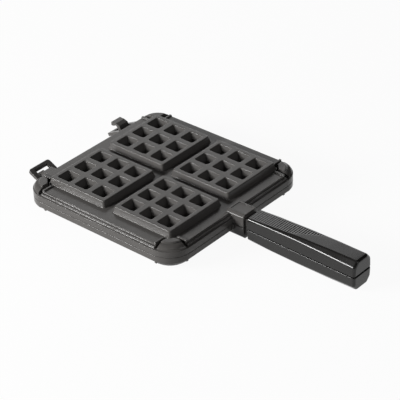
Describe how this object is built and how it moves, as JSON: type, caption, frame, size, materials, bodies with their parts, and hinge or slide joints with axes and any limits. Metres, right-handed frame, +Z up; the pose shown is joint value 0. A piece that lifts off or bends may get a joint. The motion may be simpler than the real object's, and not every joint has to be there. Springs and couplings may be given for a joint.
{
  "type": "stovetop waffle iron",
  "caption": "Square hinged stovetop waffle iron: gridded cast plates that hook together and a ribbed split handle.",
  "frame": {"origin": "middle of the whole closed iron's outline, on the plane that the lower waffle blocks stand on", "axes": "+X along the handle, away from the hinge; +Y to the back; +Z up"},
  "size_m": [0.4259, 0.232, 0.041],
  "materials": {
    "plate": "cast, with a dark grey satin non-stick coating all over",
    "grip": "black glossy phenolic",
    "screws": "plain steel",
    "inserts": "turned brass"
  },
  "bodies": {
    "lower_half": {"lower_plate": "plate", "lower_grip": "grip", "lower_grip_screws": "screws", "lower_grip_inserts": "inserts"},
    "upper_half": {"upper_plate": "plate", "upper_grip": "grip", "upper_grip_screws": "screws", "upper_grip_inserts": "inserts"}
  },
  "joints": [
    {"name": "hook_hinge", "type": "hinge", "parent": "lower_half", "child": "upper_half", "pos_m": [-0.21045, 0, 0.0205], "axis": [0, -1, 0], "range_deg": [0, 100]}
  ]
}
